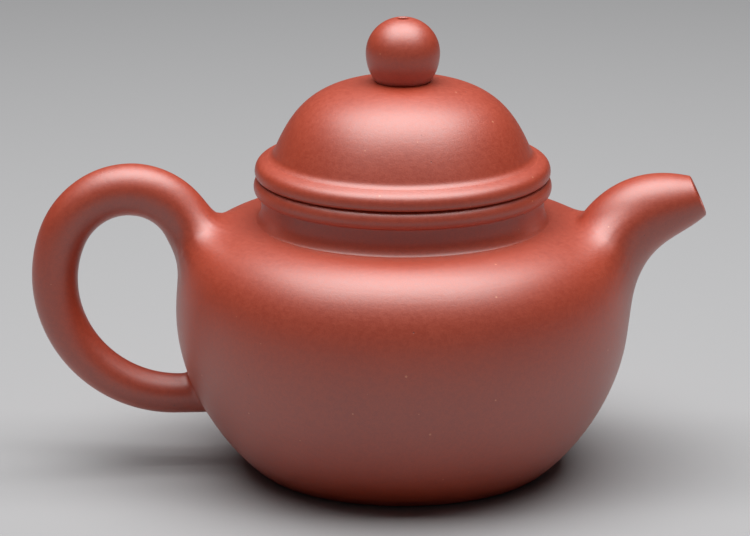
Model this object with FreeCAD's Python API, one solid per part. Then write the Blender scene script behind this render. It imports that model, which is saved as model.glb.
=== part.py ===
import FreeCAD, Part
import math
import os

# Round clay teapot, slab built: a pot of eight luted pieces and a loose lid of four.
# Millimetres. Z is up, the foot stands on z = 0, the pot axis is the Z axis, and the
# spout points along +X with the handle opposite it.

V = FreeCAD.Vector

# Belly
BELLY_RADIUS = 50.3
BELLY_HEIGHT = 35.6
FOOT_RADIUS = 32.0
FOOT_ANGLE = 33.0
SHOULDER_RISE = 21.0
SHOULDER_ANGLE = 12.0
WALL = 3.0

# How far the belly curve follows its direction at the foot, the widest ring and the neck
FOOT_PULL = 6.5
LOWER_PULL = 17.9
UPPER_PULL = 21.8
NECK_PULL = 3.7

# Base and shoulder slabs
BASE_RADIUS = 25.0
BASE_THICKNESS = 3.0
BASE_RECESS = 1.0
SHOULDER_WIDTH = 4.8

# Neck and lip
MOUTH_RADIUS = 28.7
NECK_THICKNESS = 2.5
NECK_HEIGHT = 5.9
NECK_FILLET = 2.2
LIP_HEIGHT = 3.8
LIP_BULGE = 2.1
LIP_OVERHANG = 1.7
LIP_EDGE = 0.5

# Lid
LID_CLEARANCE = 0.3
TONGUE_LENGTH = 8.5
TONGUE_THICKNESS = 2.6
TONGUE_BEVEL = 0.65
BEAD_HEIGHT = 4.55
BEAD_ROUND = 2.3
BEAD_INSET = 0.25
BEAD_EDGE = 0.5
BEAD_WIDTH = 5.5
BEAD_DIP = 0.25
DOME_HEIGHT = 17.1
DOME_FILLET = 0.8
DOME_WALL = 3.0

# Knob
KNOB_RADIUS = 8.15
KNOB_UPPER = 7.85
KNOB_LOWER = 9.5
KNOB_RISE = 5.6
VENT_RADIUS = 1.15

# Spout: its centre line leaves the belly below the shoulder and ends at the mouth
SPOUT_DROP = 5.9
SPOUT_ROOT_ANGLE = 58.0
SPOUT_ROOT_PULL = 11.0
SPOUT_REACH = 15.1
SPOUT_CLIMB = 11.05
SPOUT_MOUTH_ANGLE = 24.0
SPOUT_MOUTH_PULL = 6.3
SPOUT_ROOT_RADIUS = 8.9
SPOUT_MOUTH_RADIUS = 4.6
SPOUT_ROOT_WALL = 2.6
SPOUT_MOUTH_WALL = 1.4
SPOUT_FILLET = 9.0

# Strainer inside the spout hole: each ring of holes has an angle off the axis and a count
STRAINER_MARGIN = 3.0
STRAINER_THICKNESS = 1.8
STRAINER_HOLE_RADIUS = 0.95
STRAINER_RING_ANGLES = [0.0, 19.0, 38.0]
STRAINER_RING_COUNTS = [1, 6, 12]

# Handle: a level run out of the belly, three bends one after another, and a straight run
# back into the belly; the roll grows thicker all the way
HANDLE_DROP = 19.6
HANDLE_RUN = 0.3
HANDLE_LOW_BEND = 26.7
HANDLE_LOW_SWEEP = 106.0
HANDLE_SIDE_BEND = 18.8
HANDLE_SIDE_SWEEP = 50.0
HANDLE_TOP_BEND = 13.6
HANDLE_TOP_SWEEP = 70.0
HANDLE_LOW_RADIUS = 4.1
HANDLE_TOP_RADIUS = 6.0
HANDLE_FILLET = 7.0
HANDLE_LOW_FILLET = 1.2
HANDLE_SPACING = 4.0

# Film of slip under the luted roots, and how far a cutting tool passes its target
SLIP = 0.05
PAST = 3.0

# Spans between the curve points of the lower belly, the upper belly and the spout
LOWER_SPANS = 4
UPPER_SPANS = 5
SPOUT_SPANS = 8

# Sizes worked out from the ones above
SHOULDER_HEIGHT = BELLY_HEIGHT + SHOULDER_RISE
NECK_RADIUS = MOUTH_RADIUS + NECK_THICKNESS
NECK_TOP = SHOULDER_HEIGHT + NECK_HEIGHT
SHOULDER_DISC_RADIUS = NECK_RADIUS + SHOULDER_WIDTH
LIP_RADIUS = NECK_RADIUS + LIP_OVERHANG
LIP_TOP = NECK_TOP + LIP_HEIGHT
FLOOR_TOP = BASE_RECESS + BASE_THICKNESS
TONGUE_RADIUS = MOUTH_RADIUS - LID_CLEARANCE
BEAD_RADIUS = LIP_RADIUS - BEAD_INSET
BEAD_TOP = LIP_TOP + BEAD_HEIGHT
DOME_RADIUS = BEAD_RADIUS - BEAD_WIDTH
DOME_SEAT = BEAD_TOP - BEAD_DIP
DOME_BASE = DOME_SEAT + DOME_FILLET
DOME_TOP = DOME_BASE + DOME_HEIGHT
KNOB_CENTRE = DOME_TOP + KNOB_RISE
KNOB_TOP = KNOB_CENTRE + KNOB_UPPER


def way(degrees):
    """Unit step at an angle above +X, as (along X, along Z)."""
    a = math.radians(degrees)
    return (math.cos(a), math.sin(a))


def step(point, degrees, length):
    """Point reached from another by a straight step in the mid-plane."""
    x, z = way(degrees)
    return (point[0] + length * x, point[1] + length * z)


def line(a, b):
    """Straight edge between two (radius, height) points of a turned profile."""
    return Part.makeLine(V(a[0], 0, a[1]), V(b[0], 0, b[1]))


def arc(centre, radius, start, end):
    """Circular edge in the profile plane between two angles."""
    points = [step(centre, a, radius) for a in (start, (start + end) / 2, end)]
    return Part.Arc(*[V(r, 0, z) for r, z in points]).toShape()


def bezier_point(poles, t):
    """Point of a cubic curve and its direction there."""
    a, b, c, d = poles
    s = 1.0 - t
    place = [0.0, 0.0]
    heading = [0.0, 0.0]
    for i in (0, 1):
        place[i] = s**3 * a[i] + 3 * s * s * t * b[i] + 3 * s * t * t * c[i] + t**3 * d[i]
        heading[i] = s * s * (b[i] - a[i]) + 2 * s * t * (c[i] - b[i]) + t * t * (d[i] - c[i])
    return tuple(place), math.degrees(math.atan2(heading[1], heading[0]))


def quarter_oval(centre, a, b, start):
    """Quarter of an oval with half-axes a (radius) and b (height), from an angle onward."""
    round_pull = 4.0 / 3.0 * (math.sqrt(2.0) - 1.0)
    c, s = way(start)
    p = (centre[0] + a * c, centre[1] + b * s)
    q = (centre[0] - a * s, centre[1] + b * c)
    p_pull = (p[0] - a * s * round_pull, p[1] + b * c * round_pull)
    q_pull = (q[0] + a * c * round_pull, q[1] + b * s * round_pull)
    curve = Part.BezierCurve()
    curve.setPoles([V(r, 0, z) for r, z in (p, p_pull, q_pull, q)])
    return curve.toShape()


def turned(edges):
    """Solid made by turning a closed profile once round the pot axis, its seam on +Y."""
    face = Part.Face(Part.Wire(edges))
    face.rotate(V(0, 0, 0), V(0, 0, 1), 90)
    return face.revolve(V(0, 0, 0), V(0, 0, 1), 360)


def polygon(points):
    """Edges of a closed profile with straight sides."""
    return [line(p, q) for p, q in zip(points, points[1:] + points[:1])]


def drum(radius, low, high):
    """Plain cylinder on the pot axis."""
    return Part.makeCylinder(radius, high - low, V(0, 0, low))


def ring(centre, degrees, radius):
    """Round section across the mid-plane, facing along an angle above +X."""
    circle = Part.makeCircle(radius, V(0, 0, 0), V(1, 0, 0))
    circle.rotate(V(0, 0, 0), V(0, 1, 0), -degrees)
    circle.translate(V(centre[0], 0, centre[1]))
    return Part.Wire(circle)


def belly_poles(inset):
    """Poles of the lower and the upper belly curve, moved inward by the inset.

    The first runs from the foot to the widest ring, the second on to the neck. Their pulls
    shrink with the curve, so that the wall keeps its thickness.
    """
    radius = BELLY_RADIUS - inset
    wide = (radius, BELLY_HEIGHT)
    foot = step((FOOT_RADIUS, 0.0), FOOT_ANGLE + 90.0, inset)
    neck = step((NECK_RADIUS, SHOULDER_HEIGHT), 270.0 - SHOULDER_ANGLE, inset)
    low_share = (BELLY_HEIGHT - foot[1]) / BELLY_HEIGHT
    high_share = (neck[1] - BELLY_HEIGHT) / SHOULDER_RISE
    lower = [foot, step(foot, FOOT_ANGLE, FOOT_PULL * low_share),
             (radius, BELLY_HEIGHT - LOWER_PULL * low_share), wide]
    upper = [wide, (radius, BELLY_HEIGHT + UPPER_PULL * high_share),
             step(neck, -SHOULDER_ANGLE, NECK_PULL * high_share), neck]
    return lower, upper


def belly_solid(inset):
    """Filled belly, its surface moved inward by the inset and its ends flat."""
    lower, upper = belly_poles(inset)
    points = [bezier_point(lower, i / LOWER_SPANS)[0] for i in range(LOWER_SPANS)]
    points += [bezier_point(upper, i / UPPER_SPANS)[0] for i in range(UPPER_SPANS + 1)]
    curve = Part.BSplineCurve()
    curve.interpolate([V(r, 0, z) for r, z in points])
    foot, neck = points[0], points[-1]
    return turned([line((0, foot[1]), foot), curve.toShape(),
                   line(neck, (0, neck[1])), line((0, neck[1]), (0, foot[1]))])


def shoulder_radius(height):
    """Outer radius of the upper belly at a height, found by halving."""
    upper = belly_poles(0.0)[1]
    low, high = 0.0, 1.0
    for _ in range(40):
        t = (low + high) / 2
        if bezier_point(upper, t)[0][1] < height:
            low = t
        else:
            high = t
    return bezier_point(upper, low)[0][0]


BELLY = belly_solid(0.0)
SLIPPED_BELLY = belly_solid(-SLIP)
INSIDE = belly_solid(WALL).common(drum(BELLY_RADIUS, FLOOR_TOP, SHOULDER_HEIGHT))
MOUTH = drum(MOUTH_RADIUS, BELLY_HEIGHT, SHOULDER_HEIGHT + PAST)
SHELL = BELLY.cut(INSIDE).cut(MOUTH)
SHOULDER_ZONE = drum(SHOULDER_DISC_RADIUS, BELLY_HEIGHT, SHOULDER_HEIGHT + PAST)
SPOUT_ROOT = (shoulder_radius(SHOULDER_HEIGHT - SPOUT_DROP), SHOULDER_HEIGHT - SPOUT_DROP)
SPOUT_MOUTH = (BELLY_RADIUS + SPOUT_REACH, SPOUT_ROOT[1] + SPOUT_CLIMB)


def meeting_edges(joined, blank):
    """Edges of the joined solid along which a blank meets the belly."""
    edges = []
    for edge in joined.Edges:
        middle = Part.Vertex(edge.valueAt((edge.FirstParameter + edge.LastParameter) / 2))
        on_belly = BELLY.Shells[0].distToShape(middle)[0]
        on_blank = blank.Shells[0].distToShape(middle)[0]
        if max(on_belly, on_blank) < SLIP:
            edges.append(edge)
    return edges


def luted(blank, fillet, low_fillet):
    """A blank that runs into the belly, smoothed into it all round and cut off at its surface.

    Roots above the widest ring take the first fillet, roots below it the second.
    """
    joined = BELLY.fuse(blank)
    edges = meeting_edges(joined, blank)
    high_edges = [e for e in edges if e.CenterOfMass.z > BELLY_HEIGHT]
    smooth = joined.makeFillet(fillet, high_edges)
    if len(high_edges) < len(edges):
        low_edges = [e for e in meeting_edges(smooth, blank) if e.CenterOfMass.z < BELLY_HEIGHT]
        smooth = smooth.makeFillet(low_fillet, low_edges)
    return smooth.cut(SLIPPED_BELLY)


def spout_blank(root_radius, mouth_radius, beyond):
    """Tapering bent horn, from deep inside the belly to the mouth and a little beyond."""
    depth = 2.0 * WALL + PAST
    rings = []
    for share in (1.0, 0.5):
        centre = step(SPOUT_ROOT, SPOUT_ROOT_ANGLE, -depth * share)
        rings.append(ring(centre, SPOUT_ROOT_ANGLE, root_radius))
    poles = [SPOUT_ROOT, step(SPOUT_ROOT, SPOUT_ROOT_ANGLE, SPOUT_ROOT_PULL),
             step(SPOUT_MOUTH, SPOUT_MOUTH_ANGLE, -SPOUT_MOUTH_PULL), SPOUT_MOUTH]
    for i in range(SPOUT_SPANS + 1):
        t = i / SPOUT_SPANS
        centre, degrees = bezier_point(poles, t)
        radius = root_radius + (mouth_radius - root_radius) * t * t
        rings.append(ring(centre, degrees, radius))
    if beyond:
        rings.append(ring(step(SPOUT_MOUTH, SPOUT_MOUTH_ANGLE, beyond), SPOUT_MOUTH_ANGLE, mouth_radius))
    return Part.makeLoft(rings, True)


SPOUT_BORE_RADIUS = SPOUT_ROOT_RADIUS - SPOUT_ROOT_WALL
SPOUT_BORE = spout_blank(SPOUT_BORE_RADIUS, SPOUT_MOUTH_RADIUS - SPOUT_MOUTH_WALL, PAST)


def make_base_disc():
    """Round slab that closes the bottom, raised a little so that only the foot ring stands."""
    return drum(BASE_RADIUS, BASE_RECESS, FLOOR_TOP)


def make_body_wall():
    """Beaten wall from the flat foot ring to the shoulder slab, with the spout hole through it."""
    base_zone = drum(BASE_RADIUS, -PAST, FLOOR_TOP + PAST)
    return SHELL.cut(base_zone).cut(SHOULDER_ZONE).cut(SPOUT_BORE)


def make_shoulder_disc():
    """Slab that closes the top of the belly, with the mouth cut through it."""
    return SHELL.common(SHOULDER_ZONE)


def make_neck_ring():
    """Collar on the shoulder, with a hollow round where it meets the slab."""
    end_angle = 270.0 - SHOULDER_ANGLE
    foot_radius = step((NECK_RADIUS + NECK_FILLET, 0.0), end_angle, NECK_FILLET)[0]
    slope = math.tan(math.radians(SHOULDER_ANGLE))
    foot_height = SHOULDER_HEIGHT - (foot_radius - NECK_RADIUS) * slope - SLIP
    centre = (NECK_RADIUS + NECK_FILLET, foot_height + NECK_FILLET * way(SHOULDER_ANGLE)[0])
    deep = SHOULDER_HEIGHT - WALL
    edges = [line((MOUTH_RADIUS, NECK_TOP), (NECK_RADIUS, NECK_TOP)),
             line((NECK_RADIUS, NECK_TOP), (NECK_RADIUS, centre[1])),
             arc(centre, NECK_FILLET, 180.0, end_angle),
             line((foot_radius, foot_height), (foot_radius, deep)),
             line((foot_radius, deep), (MOUTH_RADIUS, deep)),
             line((MOUTH_RADIUS, deep), (MOUTH_RADIUS, NECK_TOP))]
    return turned(edges).cut(BELLY)


def make_mouth_rim():
    """Rounded lip on the neck; its flat top is the seat of the lid."""
    bulge = (NECK_RADIUS, NECK_TOP + LIP_BULGE)
    corner = (LIP_RADIUS - LIP_EDGE, LIP_TOP - LIP_EDGE)
    return turned([line((MOUTH_RADIUS, NECK_TOP), (NECK_RADIUS, NECK_TOP)),
                   quarter_oval(bulge, LIP_OVERHANG, LIP_BULGE, -90.0),
                   line((LIP_RADIUS, bulge[1]), (LIP_RADIUS, corner[1])),
                   arc(corner, LIP_EDGE, 0.0, 90.0),
                   line((corner[0], LIP_TOP), (MOUTH_RADIUS, LIP_TOP)),
                   line((MOUTH_RADIUS, LIP_TOP), (MOUTH_RADIUS, NECK_TOP))])


def make_spout():
    """Hollow bent spout, its root smoothed into the belly."""
    horn = spout_blank(SPOUT_ROOT_RADIUS, SPOUT_MOUTH_RADIUS, 0.0)
    return luted(horn, SPOUT_FILLET, SPOUT_FILLET).cut(SPOUT_BORE)


def make_spout_strainer():
    """Perforated ball strainer luted on the inside of the wall over the spout hole."""
    x, z = way(SPOUT_ROOT_ANGLE)
    into = V(-x, 0, -z)
    centre = V(SPOUT_ROOT[0], 0, SPOUT_ROOT[1]) + into * WALL
    outer = SPOUT_BORE_RADIUS + STRAINER_MARGIN
    ball = Part.makeSphere(outer, centre).cut(Part.makeSphere(outer - STRAINER_THICKNESS, centre))
    cap = ball.common(INSIDE)
    for tilt, count in zip(STRAINER_RING_ANGLES, STRAINER_RING_COUNTS):
        for i in range(count):
            hinge = FreeCAD.Rotation(into, 360.0 * i / count).multVec(V(0, 1, 0))
            aim = FreeCAD.Rotation(hinge, tilt).multVec(into)
            cap = cap.cut(Part.makeCylinder(STRAINER_HOLE_RADIUS, outer + PAST, centre, aim))
    return cap


def depth_to_belly(point, degrees):
    """Length of a straight run from a point to the belly's surface, found by halving."""
    low, high = 0.0, BELLY_RADIUS
    for _ in range(40):
        run = (low + high) / 2
        x, z = step(point, degrees, run)
        if BELLY.isInside(V(x, 0, z), SLIP, True):
            high = run
        else:
            low = run
    return high


def spaced(length):
    """Even shares of a run of the handle, one for each station along it."""
    count = max(2, round(length / HANDLE_SPACING))
    return [(i + 1) / count for i in range(count)]


def handle_line():
    """Centre points and headings along the handle, from its low end to its upper root."""
    low = BELLY_HEIGHT - HANDLE_DROP
    run = BELLY_RADIUS + HANDLE_RUN - FOOT_RADIUS
    stations = [((-FOOT_RADIUS, low), 180.0)]
    stations += [((-FOOT_RADIUS - run * share, low), 180.0) for share in spaced(run)]
    bends = [(HANDLE_LOW_BEND, HANDLE_LOW_SWEEP), (HANDLE_SIDE_BEND, HANDLE_SIDE_SWEEP),
             (HANDLE_TOP_BEND, HANDLE_TOP_SWEEP)]
    for bend, sweep in bends:
        point, heading = stations[-1]
        centre = step(point, heading - 90.0, bend)
        for share in spaced(bend * math.radians(sweep)):
            turn = sweep * share
            stations.append((step(centre, heading + 90.0 - turn, bend), heading - turn))
    end, heading = stations[-1]
    depth = depth_to_belly(end, heading) + 2.0 * HANDLE_TOP_RADIUS
    stations += [(step(end, heading, depth * share), heading) for share in spaced(depth)]
    return stations


def make_handle():
    """Solid ear-shaped roll, thicker towards the top, its roots smoothed into the belly."""
    stations = handle_line()
    travelled = [0.0]
    for (p, _), (q, _) in zip(stations, stations[1:]):
        travelled.append(travelled[-1] + math.dist(p, q))
    rings = []
    for (centre, heading), length in zip(stations, travelled):
        radius = HANDLE_LOW_RADIUS + (HANDLE_TOP_RADIUS - HANDLE_LOW_RADIUS) * length / travelled[-1]
        rings.append(ring(centre, heading, radius))
    return luted(Part.makeLoft(rings, True), HANDLE_FILLET, HANDLE_LOW_FILLET)


def make_lid_rim():
    """Flat ring of the lid with a rounded bead edge; it rests on the lip."""
    inner = DOME_RADIUS - DOME_WALL
    corner = (BEAD_RADIUS - BEAD_EDGE, LIP_TOP + BEAD_EDGE)
    crown = (BEAD_RADIUS - BEAD_ROUND, BEAD_TOP - BEAD_ROUND)
    ledge = (DOME_RADIUS + DOME_FILLET, DOME_SEAT)
    edges = [line((inner, LIP_TOP), (corner[0], LIP_TOP)),
             arc(corner, BEAD_EDGE, -90.0, 0.0),
             line((BEAD_RADIUS, corner[1]), (BEAD_RADIUS, crown[1])),
             arc(crown, BEAD_ROUND, 0.0, 90.0),
             line((crown[0], BEAD_TOP), ledge),
             line(ledge, (inner, DOME_SEAT)),
             line((inner, DOME_SEAT), (inner, LIP_TOP))]
    return turned(edges)


def dome_block(radius, height, fillet):
    """Filled dome on the lid ring; a fillet rounds its foot, and none leaves it upright."""
    foot = (radius + fillet, DOME_SEAT)
    start = (radius, DOME_BASE)
    side = arc((foot[0], DOME_BASE), fillet, 270.0, 180.0) if fillet else line(foot, start)
    top = (0.0, DOME_BASE + height)
    return turned([side, quarter_oval((0.0, DOME_BASE), radius, height, 0.0),
                   line(top, (0.0, DOME_SEAT)), line((0.0, DOME_SEAT), foot)])


DOME = dome_block(DOME_RADIUS, DOME_HEIGHT, DOME_FILLET)
VENT = drum(VENT_RADIUS, DOME_SEAT, KNOB_TOP + PAST)


def make_lid_dome():
    """Domed top of the lid, hollow below, with the vent through its crown."""
    return DOME.cut(dome_block(DOME_RADIUS - DOME_WALL, DOME_HEIGHT - DOME_WALL, 0.0)).cut(VENT)


def make_lid_tongue():
    """Ring under the lid that drops into the mouth."""
    inner = TONGUE_RADIUS - TONGUE_THICKNESS
    low = LIP_TOP - TONGUE_LENGTH
    return turned(polygon([(inner, LIP_TOP), (inner, low + TONGUE_BEVEL), (inner + TONGUE_BEVEL, low),
                           (TONGUE_RADIUS - TONGUE_BEVEL, low), (TONGUE_RADIUS, low + TONGUE_BEVEL),
                           (TONGUE_RADIUS, LIP_TOP)]))


def make_lid_knob():
    """Ball knob, fuller below than above, seated on the dome and pierced by the vent."""
    centre = (0.0, KNOB_CENTRE)
    ball = turned([quarter_oval(centre, KNOB_RADIUS, KNOB_LOWER, -90.0),
                   quarter_oval(centre, KNOB_RADIUS, KNOB_UPPER, 0.0),
                   line((0.0, KNOB_TOP), (0.0, KNOB_CENTRE - KNOB_LOWER))])
    return ball.cut(DOME).cut(VENT)


MAKERS = {
    "base_disc": make_base_disc,
    "body_wall": make_body_wall,
    "shoulder_disc": make_shoulder_disc,
    "neck_ring": make_neck_ring,
    "mouth_rim": make_mouth_rim,
    "spout": make_spout,
    "spout_strainer": make_spout_strainer,
    "handle": make_handle,
    "lid_rim": make_lid_rim,
    "lid_dome": make_lid_dome,
    "lid_tongue": make_lid_tongue,
    "lid_knob": make_lid_knob,
}

os.makedirs("parts", exist_ok=True)
for name, maker in MAKERS.items():
    shape = maker()
    print(name, len(shape.Solids), "solid", round(shape.Volume, 1), "mm3", shape.isValid())
    shape.Solids[0].exportStep("parts/" + name + ".step")
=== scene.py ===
# %% [markdown]
# # A round clay teapot, dressed in Blender
# The pot is slab built. Twelve pieces of clay are beaten, rolled or turned one by one, luted
# together with slip, burnished with a horn blade and fired without a glaze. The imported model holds
# every piece at its real size. This lesson gives each piece a finished skin with soft edges and
# flowing roots, and one fired clay over all of them. Everything is in metres and in the frame of
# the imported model, so each piece goes where the model says.

# %% Load the frame
import math
from collections import namedtuple

import bpy
import mathutils
import numpy as np
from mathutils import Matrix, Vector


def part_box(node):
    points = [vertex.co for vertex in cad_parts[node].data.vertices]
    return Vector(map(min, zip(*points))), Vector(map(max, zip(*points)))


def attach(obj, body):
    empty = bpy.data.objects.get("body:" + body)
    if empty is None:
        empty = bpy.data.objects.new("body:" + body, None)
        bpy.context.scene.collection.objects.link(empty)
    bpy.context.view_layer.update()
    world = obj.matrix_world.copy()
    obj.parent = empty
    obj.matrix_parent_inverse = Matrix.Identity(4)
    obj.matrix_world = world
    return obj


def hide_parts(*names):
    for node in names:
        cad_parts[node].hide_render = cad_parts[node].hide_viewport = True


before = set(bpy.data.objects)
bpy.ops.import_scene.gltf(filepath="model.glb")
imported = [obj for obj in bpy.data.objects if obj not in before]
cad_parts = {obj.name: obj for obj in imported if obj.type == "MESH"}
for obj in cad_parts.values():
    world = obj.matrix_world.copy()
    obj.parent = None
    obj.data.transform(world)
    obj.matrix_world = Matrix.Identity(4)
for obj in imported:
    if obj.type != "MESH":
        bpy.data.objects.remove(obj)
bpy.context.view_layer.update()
print("nodes in the frame:", len(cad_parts))

# %% [markdown]
# ## Sizes
# A turned piece has its true radius on the Y axis, because nothing else reaches out there. So the
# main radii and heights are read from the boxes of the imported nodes. They could be typed in, but then
# they would not follow a change of the model. The sizes that a box can't tell, such as the run of the
# belly curve, are named where they are first needed.

# %% Read the main radii and heights
MM = 0.001


def radius_of(node):
    """Outer radius of a turned node: how far its box reaches along Y."""
    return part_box(node)[1].y


def low(node):
    """Height of the underside of a node."""
    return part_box(node)[0].z


def high(node):
    """Height of the top of a node."""
    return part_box(node)[1].z


BELLY_RADIUS = radius_of("body_wall")
SHOULDER_HEIGHT = high("shoulder_disc")
SHOULDER_SEAM = radius_of("shoulder_disc")
NECK_TOP = low("mouth_rim")
LIP_RADIUS = radius_of("mouth_rim")
LIP_TOP = high("mouth_rim")
BEAD_RADIUS = radius_of("lid_rim")
BEAD_TOP = high("lid_rim")
DOME_SEAT = low("lid_dome")
KNOB_TOP = high("lid_knob")
KNOB_RADIUS = radius_of("lid_knob")
TONGUE_RADIUS = radius_of("lid_tongue")
TONGUE_LOW = low("lid_tongue")
BASE_RADIUS = radius_of("base_disc")
FLOOR = high("base_disc")
WALL = 3.0 * MM
print("belly radius", round(BELLY_RADIUS / MM, 2), "mm, knob top", round(KNOB_TOP / MM, 2), "mm")

# %% [markdown]
# ## Fired clay
# The finish is bare clay, without glaze or paint. A picture of clay could be wrapped round each piece,
# but it would show where it was cut. Here the clay is worked out from patterns in space, as if every
# piece were carved from one block. They read Object coordinates, in metres, and run on from one piece
# to the next over every seam. A shader is a tree of nodes, and these few helpers keep its making short.

# %% Helpers for shader nodes


def add_node(tree, kind, settings=None, **inputs):
    """Node of a kind with its settings; each input is a value, or the socket that feeds it."""
    node = tree.nodes.new(kind)
    for key, value in (settings or {}).items():
        setattr(node, key, value)
    for key, value in inputs.items():
        feed(tree, node.inputs[key.replace("_", " ")], value)
    return node


def feed(tree, socket, value):
    """Links a socket to another, or sets its value."""
    if isinstance(value, bpy.types.NodeSocket):
        tree.links.new(value, socket)
    else:
        socket.default_value = value


def calc(tree, operation, *values):
    """Output of a Math node: an operation on up to three values or sockets."""
    node = tree.nodes.new("ShaderNodeMath")
    node.operation = operation
    for socket, value in zip(node.inputs, values):
        feed(tree, socket, value)
    return node.outputs[0]


def ramp(tree, value, low_in, high_in, low_out=0.0, high_out=1.0):
    """Value stretched from one range to another, smoothly, and kept inside it."""
    node = add_node(tree, "ShaderNodeMapRange", {"interpolation_type": "SMOOTHSTEP"}, Value=value,
                    From_Min=low_in, From_Max=high_in, To_Min=low_out, To_Max=high_out)
    return node.outputs["Result"]


def blend_colour(tree, factor, first, second):
    """Mix of two colours by a factor."""
    node = tree.nodes.new("ShaderNodeMix")
    node.data_type = "RGBA"
    feed(tree, node.inputs["Factor"], factor)
    colours = [s for s in node.inputs if s.type == "RGBA"]
    feed(tree, colours[0], first)
    feed(tree, colours[1], second)
    return [s for s in node.outputs if s.type == "RGBA"][0]


def new_group(name, inputs, outputs):
    """Node group with named number inputs and outputs; returns it, its inputs and its output node."""
    group = bpy.data.node_groups.new(name, "ShaderNodeTree")
    for socket, value in inputs.items():
        made = group.interface.new_socket(socket, in_out="INPUT", socket_type="NodeSocketFloat")
        made.default_value = value
    for socket in outputs:
        group.interface.new_socket(socket, in_out="OUTPUT", socket_type="NodeSocketFloat")
    return group, group.nodes.new("NodeGroupInput").outputs, group.nodes.new("NodeGroupOutput").inputs


def weighed(tree, first, second, share):
    """Sum of two sockets: the first times its share, and the second times the rest."""
    rest = calc(tree, "MULTIPLY", second, 1.0 - share)
    return calc(tree, "ADD", calc(tree, "MULTIPLY", first, share), rest)


def in_space(tree):
    """Object coordinates, in metres."""
    return tree.nodes.new("ShaderNodeTexCoord").outputs["Object"]


def noise_in_space(tree, scale, detail, roughness):
    """Noise over Object coordinates, from 0 to 1."""
    node = add_node(tree, "ShaderNodeTexNoise", Vector=in_space(tree), Scale=scale, Detail=detail,
                    Roughness=roughness)
    return node.outputs["Fac"]


print("shader helpers are ready, and node groups so far:", len(bpy.data.node_groups))

# %% [markdown]
# ## What shows in the clay
# Sand in the body shows as a fine grain, a few quartz grains fire pale, and some burn out and leave
# pin-holes, whose shade is painted into the colour as a dark tone. The fire leaves broad patches of
# tone, and strokes of the horn blade run round the form.
# Noise at the right scale gives sand, fire and strokes, and the hearts of some Voronoi cells give
# single grains. Each effect is a node group with its own inputs, because the burnished clay outside
# and the plain clay inside both use it.

# %% Node groups for the clay
SAND_PER_METRE = 3000.0
COARSE_SAND = 0.31
FINE_SHARE = 0.6
SAND_RANGE = (0.36, 0.64)
GRAINS = {"Cells per metre": 420.0, "Share": 0.2, "Size": 0.12}
LEAST_GRAIN = 0.4
GRAIN_CORE = 0.45
PATCHES_PER_METRE = 38.0
PATCH_RANGE = (0.3, 0.7)
STROKES_PER_METRE = 900.0
STROKE_BREAKS = 2.5
NEAR_AXIS = 1e-5


def sand_group():
    """Fine sandy grain: two sizes of noise, added; its height and a tone from 0 to 1."""
    inputs = {"Grains per metre": SAND_PER_METRE}
    group, given, made = new_group("sand_grain", inputs, ["Height", "Tone"])
    fine = noise_in_space(group, given[0], 3.0, 0.6)
    coarse = noise_in_space(group, calc(group, "MULTIPLY", given[0], COARSE_SAND), 2.0, 0.5)
    mean = weighed(group, fine, coarse, FINE_SHARE)
    feed(group, made["Height"], mean)
    feed(group, made["Tone"], ramp(group, mean, *SAND_RANGE))
    return group


def speck_group():
    """Single grains: a dot at the heart of a share of the cells of a Voronoi pattern."""
    group, given, made = new_group("single_grains", GRAINS, ["Mask"])
    cells = add_node(group, "ShaderNodeTexVoronoi", Vector=in_space(group),
                     Scale=given["Cells per metre"])
    chance = add_node(group, "ShaderNodeSeparateColor", Color=cells.outputs["Color"])
    chosen = calc(group, "LESS_THAN", chance.outputs["Red"], given["Share"])
    growth = calc(group, "ADD", chance.outputs["Green"], LEAST_GRAIN)
    size = calc(group, "MULTIPLY", given["Size"], growth)
    dot = ramp(group, cells.outputs["Distance"], size, calc(group, "MULTIPLY", size, GRAIN_CORE))
    feed(group, made["Mask"], calc(group, "MULTIPLY", chosen, dot))
    return group


def kiln_group():
    """Broad change of tone from the fire: slow noise from 0 to 1."""
    group, given, made = new_group("kiln_tone", {"Patches per metre": PATCHES_PER_METRE}, ["Tone"])
    slow = noise_in_space(group, given[0], 3.0, 0.55)
    feed(group, made["Tone"], ramp(group, slow, *PATCH_RANGE))
    return group


def stroke_group():
    """Strokes round the pot axis: noise that is stretched along the angle and fine across it."""
    group, given, made = new_group("blade_strokes", {"Strokes per metre": STROKES_PER_METRE}, ["Height"])
    x, y, z = add_node(group, "ShaderNodeSeparateXYZ", Vector=in_space(group)).outputs
    square = calc(group, "ADD", calc(group, "MULTIPLY", x, x), calc(group, "MULTIPLY", y, y))
    radius = calc(group, "SQRT", square)
    across = calc(group, "MULTIPLY", radius, given[0])
    safe = calc(group, "MAXIMUM", radius, NEAR_AXIS)
    round_x = calc(group, "MULTIPLY", calc(group, "DIVIDE", x, safe), STROKE_BREAKS)
    round_y = calc(group, "MULTIPLY", calc(group, "DIVIDE", y, safe), STROKE_BREAKS)
    bend = add_node(group, "ShaderNodeCombineXYZ", X=round_x, Y=round_y,
                    Z=calc(group, "MULTIPLY", z, given[0]))
    noise = add_node(group, "ShaderNodeTexNoise", {"noise_dimensions": "4D"}, Vector=bend.outputs[0],
                     W=across, Scale=1.0, Detail=2.0, Roughness=0.5)
    feed(group, made["Height"], noise.outputs["Fac"])
    return group


SAND = sand_group()
SPECKS = speck_group()
KILN = kiln_group()
STROKES = stroke_group()
print("node groups:", [group.name for group in (SAND, SPECKS, KILN, STROKES)])

# %% [markdown]
# ## Burnished and plain clay
# Outside, the potter rubs the leather-hard clay with the blade until the finest clay lies flat in a
# thin skin with a soft shine. That skin is the shader's coat, as rough as the clay under it, which
# stays duller in its pin-holes. Inside and underneath the clay is left as it was beaten: rougher, with
# no coat and with deeper strokes. Both come from one function, so that they stay one clay.

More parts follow.
